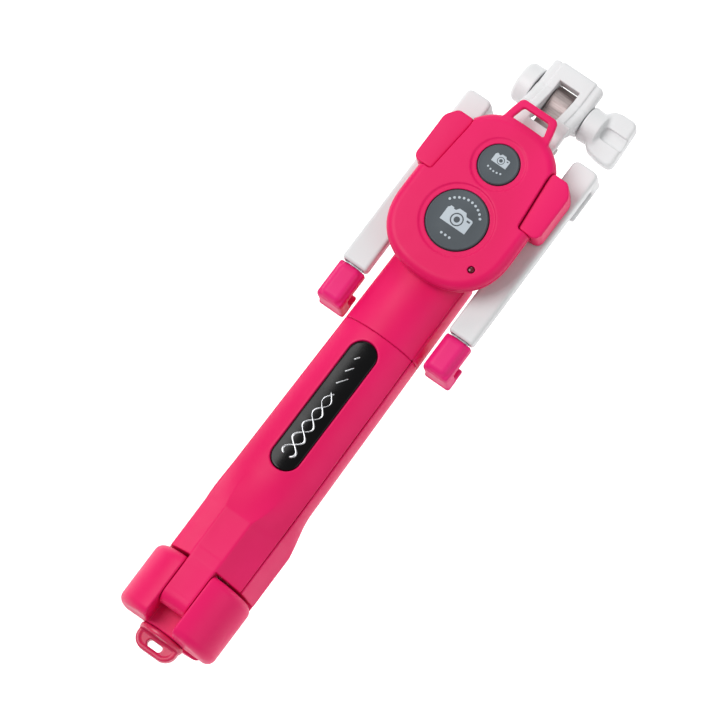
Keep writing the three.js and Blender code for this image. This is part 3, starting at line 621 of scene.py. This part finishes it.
def fork_field(x, y, z):
    across = np.abs(x)
    top = span("swivel_fork", "y")[1]
    eye = disc(y, z, BOLT_Y, 0, FORK_RADIUS)
    head = rect(y, z, (BOLT_Y - 2, top), (BRIDGE_BACK, FORK_RADIUS), 1.1)
    web = convex(y, z, [(169.2, 4.2), (176.5, 0.5), (177.5, 5.6), (170.3, 9.1), (167.3, 6.9)], 0.3)
    profile = join(join(eye, head, 0.3), web, 0.8)
    panel = meet(profile, across - 5.5, 0.3)
    cheek = meet(profile + 0.4, across - FORK_HALF, 1.5)
    body = join(panel, cheek, 0.1)
    through = np.maximum(across - FORK_GAP, slab(y, *FORK_WINDOW))
    behind = np.maximum(np.maximum(across - FORK_GAP, z - BRIDGE_BACK), FORK_WINDOW[0] - y)
    body = cut(body, np.minimum(through, behind), 0.3)
    foot_low = span("swivel_fork", "y")[0]
    foot = block(x, y, z, (-7.6, 7.6), (foot_low, FORK_WINDOW[0]), FOOT_DEPTH, 0.5)
    ramp = rect(y, z, (FORK_WINDOW[0] - 3, 171), FOOT_DEPTH, 0.4)
    ramps = meet(ramp, slab(across, FORK_GAP, 7.7), 0.3)
    body = join(join(body, ramps, 0.3), foot, 0.3)
    for height in SCREW_HEIGHTS:
        body = cut(body, disc(x, y, 0, height, SCREW_BORE), 0.1)
    return cut(body, disc(y, z, BOLT_Y, 0, BOLT_BORE), 0.1)


def nut_cover_field(x, y, z):
    out, rim = span("nut_cover", "x")
    rim_radius, draft, dimple_depth = 6, 0.05, 0.35
    pocket_floor = -11.6
    round_side = disc(y, z, BOLT_Y, 0, rim_radius + draft * (x - rim))
    body = meet(meet(round_side, out - x, 1.3), x - rim, 0.3)
    dimple = meet(disc(y, z, BOLT_Y, 0, 3.6), x - out - dimple_depth, 0.2)
    pocket = np.maximum(disc(y, z, BOLT_Y, 0, 4.2), pocket_floor - x)
    return cut(cut(body, dimple, 0.3), pocket, 0.2)


def wing_knob_field(x, y, z):
    base, out = span("wing_knob", "x")
    half = width("wing_knob", "y") / 2
    up = y - BOLT_Y
    collar_radius, draft, collar_end = 5.2, 0.08, 13.2
    half_thick, recess_floor = 2.6, 1.45
    collar_side = disc(up, z, 0, 0, collar_radius - draft * (x - base))
    collar = meet(collar_side, slab(x, base, collar_end), 0.35)
    corners = [
        (11.6, -half + 1.2), (14.0, -half), (out, -half),
        (out - 0.8, half), (13.2, half), (11.6, half - 1.4),
    ]
    plan = convex(x, up, corners, 1.9)
    paddle = meet(plan, np.abs(z) - half_thick + 0.008 * up**2, 0.9)
    band = np.maximum(rect(x, up, (13.4, out + 3), (-1.9, 1.9), 1.6), recess_floor - z)
    knob = cut(join(collar, paddle, 0.9), band, 0.25)
    bolt_end = span("hinge_bolt", "x")[1] + GAP
    return cut(knob, np.maximum(disc(up, z, 0, 0, BOLT_BORE), x - bolt_end), 0.1)


# ------------------------------------------------------------------ phone clamp


def jaw_frame_field(x, y, z):
    across = np.abs(x)
    arm_ends = (PAD_TOP + 0.4, ARM_TOP)
    inset = (ARM_IN + GAP, ARM_OUT - GAP)
    outline = rect(y, z, arm_ends, (ARM_BACK, ARM_FRONT), 1.1)
    plan = rect(across, y, (ARM_IN, ARM_OUT), (arm_ends[0] - 5, ARM_TOP), 2.0)
    arm = meet(outline, plan, 0.9)
    hook = block(across, y, z, inset, (ARM_TOP - 4, ARM_TOP - 0.4), (HOOK_BACK, ARM_BACK + 1), 0.8)
    lip = block(across, y, z, inset, (152.5, ARM_TOP - 3.5), (HOOK_BACK, -1), 0.7)
    arm = join(arm, join(hook, lip, 0.5), 0.8)
    bar = block(x, y, z, (-RISER_OUT, RISER_OUT), BAR, (9.4, BAR_FRONT), 0.5)
    inner = FORK_HALF + 0.4
    riser = block(across, y, z, (inner, RISER_OUT), BAR, (ARM_BACK + 0.6, BAR_FRONT), 0.5)
    shoulder = block(across, y, z, (inner, ARM_IN + 1), BAR, (ARM_BACK + 0.6, ARM_FRONT - 0.3), 0.5)
    body = join(join(join(bar, riser, 0.4), shoulder, 0.4), arm, 0.4)
    bore = block(
        across, y, z, (ARM_IN + SIDE_WALL, ARM_OUT - SIDE_WALL), (arm_ends[0] - 2, 153),
        (ARM_BACK + FACE_WALL, ARM_FRONT - FACE_WALL), 0.3,
    )
    body = cut(body, bore, 0.25)
    shank = disc(across, y, *CLIP_SCREW, SCREW_BORE)
    head = meet(disc(across, y, *CLIP_SCREW, SCREW_HEAD_BORE), z - ARM_BACK - 1.05)
    body = cut(body, np.maximum(np.minimum(shank, head), -0.5 - z), 0.12)
    for height in SCREW_HEIGHTS:
        shank = disc(x, y, 0, height, SCREW_BORE)
        head = np.maximum(disc(x, y, 0, height, SCREW_HEAD_BORE), BAR_FRONT - 1 - z)
        body = cut(body, np.minimum(shank, head), 0.12)
    return body


def jaw_hook_field(x, y, z):
    xs = span("jaw_hook_right", "x")
    inner = (xs[0] + 0.6, xs[1] - 0.8)
    pad = block(x, y, z, inner, (PAD_BOTTOM + 0.5, PAD_TOP), (ARM_BACK, ARM_FRONT + 0.15), 1.9)
    socket = block(x, y, z, xs, (PAD_BOTTOM + 0.3, PAD_TOP), (ARM_BACK - 0.2, ARM_FRONT - 1.3), 0.8)
    hook = block(x, y, z, xs, (PAD_BOTTOM, PAD_BOTTOM + 3.6), (HOOK_BACK, ARM_BACK + 2.5), 1.2)
    lip = block(x, y, z, xs, (PAD_BOTTOM, PAD_BOTTOM + 6.5), (HOOK_BACK, HOOK_BACK + 1.6), 0.75)
    body = join(join(join(pad, socket, 0.5), hook, 0.4), lip, 0.8)
    body = meet(body, slab(x, *xs), 0.4)  # trims the bulge that the fillets leave
    rod_ends = (PAD_BOTTOM + 2.7, PAD_TOP + 3)
    rod_sides = (ARM_IN + SIDE_WALL, ARM_OUT - SIDE_WALL)
    slot = block(x, y, z, rod_sides, rod_ends, (4.5, 6.05), 0.1)
    return cut(body, slot, 0.15)


def clip_plan(x, y, margin=0.0, r=0.7):
    low, high = span("clip_right", "y")
    out = span("clip_right", "x")[1]
    corners = [
        (out, low + 1.2), (out, high - 3.2), (out - 2.6, high), (13.0, high),
        (12.7, high - 0.8), (14.3, low), (out - 1.2, low),
    ]
    return convex(x, y, corners, r) - margin


def clip_field(x, y, z):
    back, front = span("clip_right", "z")
    crown = front - 0.012 * (x - 15.5) ** 2
    body = meet(meet(clip_plan(x, y), z - crown, 0.5), back - z, 0.3)
    body = cut(body, np.maximum(remote_plan(x, y) - GAP, slab(z, BAR_FRONT - 0.1, 14.6)), 0.15)
    body = cut(body, np.maximum(x - 14.25, z - BAR_FRONT - 0.1), 0.15)
    pilot_radius, pilot_top = 0.9, 11
    hole = np.maximum(disc(x, y, *CLIP_SCREW, pilot_radius), z - pilot_top)
    return cut(body, hole, 0.1)


# ------------------------------------------------------------------ remote


def remote_plan(x, y):
    """Distance from the remote's egg-shaped outline."""
    up = y - REMOTE_WIDEST
    above = up > 0
    reach = np.where(above, REMOTE_HIGH - REMOTE_WIDEST, REMOTE_WIDEST - REMOTE_LOW)
    power = np.where(above, *REMOTE_POWERS)
    u, v = np.abs(x) / REMOTE_HALF + 1e-6, np.abs(up) / reach + 1e-6
    ratio = (u**power + v**power) ** (1 / power)
    return np.hypot(x, up) * (1 - 1 / ratio) * 0.97


def chamber(x, y, z, low, high):
    """The room inside the remote, between two heights."""
    plan = np.maximum(remote_plan(x, y) + REMOTE_WALL, np.abs(x) - CHAMBER_HALF)
    return np.maximum(plan, slab(z, low, high))


BUTTONS = {
    name: (middle(f"button_{name}", "y"), width(f"button_{name}", "x") / 2 - 0.7)
    for name in ("large", "small")
}
LENS = [middle("indicator_lens", axis) for axis in "xy"]


def loop_field(x, y, z):
    split = BACK_TOP + GAP
    top = span("remote_front", "y")[1]
    outside = [(-7.8, 158), (7.8, 158), (7.2, 164.5), (5.6, top), (-5.6, top), (-7.2, 164.5)]
    inside = [(-5.1, 163.3), (5.1, 163.3), (4.0, top - 2), (-4.0, top - 2)]
    plan = cut(convex(x, y, outside, 1.1), convex(x, y, inside, 0.6))
    return meet(plan, slab(z, split, split + LOOP_THICK), 0.5)


def remote_front_field(x, y, z):
    split = BACK_TOP + GAP
    plan = remote_plan(x, y)
    crown = REMOTE_FRONT - 0.22 * ((x / 18) ** 2 + ((y - 139) / 25) ** 2)
    shell = meet(meet(plan, z - crown, 2.5), split - z, 0.15)
    shell = join(shell, loop_field(x, y, z), 0.5)
    for height, radius in BUTTONS.values():
        from_middle = np.hypot(x, y - height)
        dish = meet(from_middle - radius - DISH_MARGIN, REMOTE_FRONT - DISH_DEPTH - z, 0.25)
        shell = cut(shell, dish, 0.3)
        shell = cut(shell, from_middle - radius - BUTTON_GAP, 0.12)
    shell = cut(shell, chamber(x, y, z, split - 2, REMOTE_FRONT - 1), 0.1)
    notch = np.maximum(clip_plan(np.abs(x), y, 0.25), 13.9 - z)
    shell = cut(shell, notch, 0.25)
    return cut(shell, np.maximum(disc(x, y, *LENS, 1.0), 15.6 - z), 0.15)


def remote_back_field(x, y, z):
    plan = remote_plan(x, y)
    shell = meet(meet(plan, REMOTE_BACK - z, 1.3), z - BACK_TOP, 0.15)
    return cut(shell, chamber(x, y, z, REMOTE_BACK + 1, BACK_TOP + 2), 0.1)


def make_button(name):
    height, r = BUTTONS[name]
    low = span(f"button_{name}", "z")[0]
    top = BUTTON_TOP
    profile = [
        (0, low), (r + 0.7, low), (r + 0.7, low + 0.25), (r, low + 0.25), (r, top - 0.5),
        (r - 0.06, top - 0.33), (r - 0.2, top - 0.17), (r - 0.4, top - 0.1),
        (r - 0.55, top - 0.13), (r - 0.75, top - 0.15), (r / 2, top - 0.04), (0, top),
    ]
    turning(f"button_{name}_cap", f"{name}_button", "grey_button", profile, (0, height, 0), "z",
            [f"button_{name}"])


# ------------------------------------------------------------------ prints on buttons and badge


def circle(cx, cy, radius, sides=40):
    turns = [i * 2 * math.pi / sides for i in range(sides)]
    return [(cx + radius * math.cos(a), cy + radius * math.sin(a)) for a in turns]


def flat_print(name, body, slot, material, outlines, centre, thickness=0.1):
    """A thin raised print. An outline inside another is a hole in it."""
    curve = bpy.data.curves.new(name, "CURVE")
    curve.dimensions = "2D"
    curve.fill_mode = "BOTH"
    curve.extrude = thickness / 2 * MM
    for outline in outlines:
        spline = curve.splines.new("POLY")
        spline.points.add(len(outline) - 1)
        spline.use_cyclic_u = True
        for point, (x, y) in zip(spline.points, outline):
            point.co = (x * MM, y * MM, 0, 1)
    source = bpy.data.objects.new(name + "_outline", curve)
    mesh = bpy.data.meshes.new_from_object(source)
    bpy.data.objects.remove(source)
    for vertex in mesh.vertices:
        vertex.co += Vector(np.array(centre) * MM + ORIGIN)
    weld(mesh)
    mesh.set_sharp_from_angle(angle=30 * DEG)
    shown(bpy.data.objects.new(name, mesh), body, slot, material=material)


def camera_sign(scale, cx, cy):
    """Outlines of a plain camera pictogram: body with a finder hump, and a ring for its lens."""
    body = [
        (-4, -2.2), (4, -2.2), (4, 1.6), (3.6, 2.0), (1.7, 2.0), (1.1, 2.9), (-1.1, 2.9),
        (-1.7, 2.0), (-2.4, 2.0), (-2.5, 2.35), (-3.5, 2.35), (-3.6, 2.0), (-4, 1.6),
    ]
    lamp = [(2.4, 0.9), (3.4, 0.9), (3.4, 1.4), (2.4, 1.4)]
    rings = [circle(0, 0, radius) for radius in (1.85, 1.5, 0.85)]
    return [[(cx + scale * x, cy + scale * y) for x, y in line] for line in [body, lamp, *rings]]


def make_prints():
    large_y, _ = BUTTONS["large"]
    small_y, _ = BUTTONS["small"]
    top = BUTTON_TOP - 0.03
    flat_print("large_button_sign", "large_button", "grey_button", PRINT_GREY,
               camera_sign(1.0, 0, 0), (0, large_y, top))
    flat_print("small_button_sign", "small_button", "grey_button", PRINT_GREY,
               camera_sign(0.58, 0, 0), (0, small_y + 1.1, top))
    arc = [(6.1 * math.sin(a * DEG), 6.1 * math.cos(a * DEG)) for a in range(-54, 55, 12)]
    dots = [circle(x, y, 0.36, 16) for x, y in arc + [(-1.3, -5.1), (0, -5.1), (1.3, -5.1)]]
    flat_print("large_button_dots", "large_button", "grey_button", PRINT_GREY, dots,
               (0, large_y, top - 0.03))
    row = [(1.0 * i, -2.3 + 0.1 * i * i) for i in range(-2, 3)]
    flat_print("small_button_dots", "small_button", "grey_button", PRINT_GREY,
               [circle(x, y, 0.27, 16) for x, y in row], (0, small_y, top - 0.03))


def make_badge_motif():
    """Two silver strands that wind round each other and thin out upwards, then three dashes."""
    low, high = BADGE_ENDS[0] + 4.2, BADGE_ENDS[1] - 4
    strands = []
    for sense in (1, -1):
        strand = []
        for i in range(81):
            t = i / 80
            y = low + (high - low) * 0.62 * t
            x = sense * 2.0 * (1 - 0.45 * t) * math.sin(t * 5 * math.pi + 0.5)
            strand.append((x, y, 0.33 - 0.17 * t + 0.08 * math.sin(9 * t * math.pi)))
        strands.append(strand)
    for i in range(3):
        y = low + (high - low) * (0.7 + 0.12 * i)
        strands.append([(-1.0 + 0.25 * k, y + 0.35 * k, 0.27 - 0.02 * k) for k in range(9 - 2 * i)])
    curve = bpy.data.curves.new("badge_motif", "CURVE")
    curve.dimensions = "3D"
    curve.bevel_depth = MM
    curve.bevel_resolution = 3
    curve.use_fill_caps = True
    for strand in strands:
        spline = curve.splines.new("POLY")
        spline.points.add(len(strand) - 1)
        for point, (x, y, radius) in zip(spline.points, strand):
            place = np.array([x, y, badge_top(x, y)]) * MM + ORIGIN
            point.co = (*place, 1)
            point.radius = radius
    source = bpy.data.objects.new("badge_motif_path", curve)
    mesh = bpy.data.meshes.new_from_object(source)
    bpy.data.objects.remove(source)
    weld(mesh)
    shown(bpy.data.objects.new("badge_motif", mesh), "leg_front", "steel", material=SILVER_FOIL)


# ------------------------------------------------------------------ metal pieces


def make_tubes():
    wall, lip = 0.45, 0.25
    for index in range(1, 7):
        node = f"pole_tube_{index}"
        low, high = span(node, "y")
        outer = width(node, "z") / 2
        inner = outer - wall
        profile = [
            (inner, low), (outer - 0.1, low), (outer, low + 0.1), (outer, high - 0.6),
            (outer - 0.04, high - lip), (outer - 0.13, high - 0.07), (outer - 0.25, high),
            (inner, high),
        ]
        body = "handle" if index == 1 else f"section_{index}"
        turning(f"{node}_polished", body, "chrome_tube", profile, (0, 0, 0), "y", [node])


def screw_field(length, out):
    """A pan-head screw with a cross recess; its tip is at height 0 along +z or -z."""
    long, short = (-1.0, 1.0), (-0.19, 0.19)

    def field(x, y, z):
        shank_radius = 0.8 + 0.09 * np.cos(z * 2 * math.pi / 0.5)
        shank = meet(np.hypot(x, y) - shank_radius, slab(z, 0, length - 0.7), 0.15)
        head = meet(np.hypot(x, y) - 1.6, slab(z, length - 0.8, length), 0.3)
        cross = np.minimum(rect(x, y, long, short, 0), rect(x, y, short, long, 0))
        recess = np.maximum(cross, length - 0.45 - z)
        return cut(join(shank, head, 0.1), recess, 0.05)

    return lambda x, y, z: field(x, y, z) if out > 0 else field(x, y, -z)


def make_screws():
    places = [(f"frame_screw_{i}", 1) for i in (1, 2)]
    places += [(f"clip_screw_{side}", -1) for side in ("right", "left")]
    for node, out in places:
        cx, cy = middle(node, "x"), middle(node, "y")
        low, high = span(node, "z")
        tip = low if out > 0 else high
        screw = screw_field(high - low, out)
        moulding(node, "clamp", "steel",
                 lambda x, y, z, s=screw, c=(cx, cy, tip): s(x - c[0], y - c[1], z - c[2]), 0.11)


def make_springs():
    turns, steps = 22, 14
    wire_radius = 0.13
    for side in ("right", "left"):
        node = f"jaw_spring_{side}"
        low, high = span(node, "y")
        cx, cz = middle(node, "x"), middle(node, "z")
        radius = width(node, "x") / 2 - 0.14
        curve = bpy.data.curves.new(node, "CURVE")
        curve.dimensions = "3D"
        curve.bevel_depth = wire_radius * MM
        curve.bevel_resolution = 2
        curve.use_fill_caps = True
        spline = curve.splines.new("POLY")
        spline.points.add(turns * steps)
        for i, point in enumerate(spline.points):
            angle = i * 2 * math.pi / steps
            y = low + 0.2 + (high - low - 0.4) * i / (turns * steps)
            place = [cx + radius * math.cos(angle), y, cz + radius * math.sin(angle)]
            point.co = (*(np.array(place) * MM + ORIGIN), 1)
        source = bpy.data.objects.new(node + "_path", curve)
        mesh = bpy.data.meshes.new_from_object(source)
        bpy.data.objects.remove(source)
        weld(mesh)
        shown(bpy.data.objects.new(node + "_coil", mesh), "clamp", "steel", [node])


def make_lens():
    low, high = span("indicator_lens", "z")
    radius, crown = 0.8, 0.3
    dome = [
        (radius * math.cos(a * DEG), high - crown + crown * math.sin(a * DEG))
        for a in range(0, 90, 15)
    ]
    turning("indicator_lens_dome", "remote", "lens_red",
            [(0, low), (radius, low), *dome, (0, high)],
            (*LENS, 0), "z", ["indicator_lens"], 40)


# ------------------------------------------------------------------ assembly


def build():
    moulding("hub", "handle", "pink_plastic", hub_field)
    # The base cap takes the darker pink copy, which is painted shade for the shadow under the legs.
    moulding("base_cap", "handle", "pink_plastic", base_cap_field, 0.25, material=SHADED_PINK)
    moulding("handle_sleeve", "handle", "pink_plastic", sleeve_field, 0.35)
    for name, azimuth in (("front", 0), ("right", 120), ("left", 240)):
        field = front_leg_field if name == "front" else leg_field
        moulding(f"leg_{name}", f"leg_{name}", "pink_plastic", field, 0.33, "leg_front", azimuth)
        kept(f"foot_{name}", "pink_rubber", 0.3)
        kept(f"leg_pin_{name}", "steel")
    moulding("badge", "leg_front", "black_gloss", badge_field, 0.2)
    make_badge_motif()
    make_tubes()
    moulding("pole_head", "section_6", "lug_metal", pole_head_field, 0.2)
    moulding("swivel_fork", "clamp", "white_plastic", fork_field, 0.25)
    moulding("nut_cover", "clamp", "white_plastic", nut_cover_field, 0.22)
    moulding("wing_knob", "knob", "white_plastic", wing_knob_field, 0.22)
    kept("hinge_bolt", "steel")
    kept("hex_nut", "steel", 0.2)
    moulding("jaw_frame", "clamp", "white_plastic", jaw_frame_field, 0.28)
    for side in ("right", "left"):
        mirrored = side == "left"
        moulding(f"jaw_hook_{side}", f"jaw_{side}", "pink_rubber", jaw_hook_field, 0.22,
                 "jaw_hook_right", mirrored=mirrored)
        moulding(f"clip_{side}", "clamp", "pink_plastic", clip_field, 0.2, "clip_right",
                 mirrored=mirrored)
        kept(f"jaw_rod_{side}", "steel", 0.15)
    make_springs()
    make_screws()
    moulding("remote_back", "remote", "pink_plastic", remote_back_field, 0.28)
    moulding("remote_front", "remote", "pink_plastic", remote_front_field, 0.22)
    make_button("large")
    make_button("small")
    make_prints()
    make_lens()
    kept("coin_cell", "steel", 0.25)
    kept("circuit_board", "board_green", 0.05)
    for name in ("large", "small"):
        kept(f"switch_{name}", "steel", 0.05)


# ------------------------------------------------------------------ camera, light and floor

# The view's numbers are rounded from a camera fit at the distance below.
VIEW_ROUND = 13.7  # degrees towards +x from straight in front
VIEW_BELOW = 8.7  # degrees towards the lanyard tab's end
VIEW_ROLL = 36.95  # the stick leans this far clockwise in the picture
VIEW_DISTANCE = 1.5
VIEW_WIDTH = 0.1895  # what the picture spans at the object
SENSOR = 36.0
AIM = Vector((-0.0012, -0.0011, 0.0201))
FLOOR_Z = -0.075
FLOOR_HALF = 6.0
WORLD_STRENGTH = 0.38
FLOOR_GLOW = 0.45  # keeps the pale floor as bright as a lit studio sweep


def view_axes():
    """The picture's right and up, and the way back to the camera."""
    a, b = VIEW_ROUND * DEG, VIEW_BELOW * DEG
    back = Vector((math.sin(a) * math.cos(b), -math.sin(b), math.cos(a) * math.cos(b)))
    along = Vector((0, 1, 0)) - back * back.y
    along.normalize()
    across = along.cross(back)
    c, s = math.cos(VIEW_ROLL * DEG), math.sin(VIEW_ROLL * DEG)
    return across * c + along * s, along * c - across * s, back


def make_camera():
    right, up, back = view_axes()
    data = bpy.data.cameras.new("camera")
    data.sensor_width = SENSOR
    data.lens = SENSOR * VIEW_DISTANCE / VIEW_WIDTH
    data.clip_start, data.clip_end = 0.05, 50
    camera = bpy.data.objects.new("camera", data)
    bpy.context.scene.collection.objects.link(camera)
    camera.rotation_mode = "QUATERNION"
    camera.rotation_quaternion = Matrix((right, up, back)).transposed().to_quaternion()
    camera.location = AIM + back * VIEW_DISTANCE
    bpy.context.scene.camera = camera


def area_light(name, place, size, power):
    data = bpy.data.lights.new(name, "AREA")
    data.shape = "DISK"
    data.size = size
    data.energy = power
    light = bpy.data.objects.new(name, data)
    bpy.context.scene.collection.objects.link(light)
    light.location = place
    light.rotation_mode = "QUATERNION"
    light.rotation_quaternion = (AIM - place).to_track_quat("-Z", "Y")


def make_lights():
    right, up, back = view_axes()
    area_light("key", AIM + back * 1.0 - right * 0.75 + up * 0.55, 0.9, 13.0)
    area_light("fill", AIM + back * 1.0 + right * 1.0 - up * 0.3, 1.1, 4.2)
    area_light("top", AIM + back * 0.35 + up * 1.1, 0.6, 2.2)
    world = bpy.data.worlds.new("studio")
    world.use_nodes = True
    background = world.node_tree.nodes["Background"]
    background.inputs["Color"].default_value = (1, 1, 1, 1)
    background.inputs["Strength"].default_value = WORLD_STRENGTH
    bpy.context.scene.world = world
    bpy.context.scene.view_settings.view_transform = "Standard"


def make_floor():
    material, shader = principled("floor", (0.93, 0.93, 0.93), 0.9)
    tree = material.node_tree
    two_tone(tree, shader, noise(tree, 3, 2.0), (0.925, 0.925, 0.925), (0.935, 0.935, 0.935))
    shader.inputs["Emission Color"].default_value = (1, 1, 1, 1)
    shader.inputs["Emission Strength"].default_value = FLOOR_GLOW
    mesh = bpy.data.meshes.new("floor")
    half = FLOOR_HALF
    corners = [(-half, -half), (half, -half), (half, half), (-half, half)]
    mesh.from_pydata([(x, y, FLOOR_Z) for x, y in corners], [], [(0, 1, 2, 3)])
    floor = bpy.data.objects.new("floor", mesh)
    bpy.context.scene.collection.objects.link(floor)
    mesh.materials.append(material)


make_camera()
make_lights()
make_floor()
build()
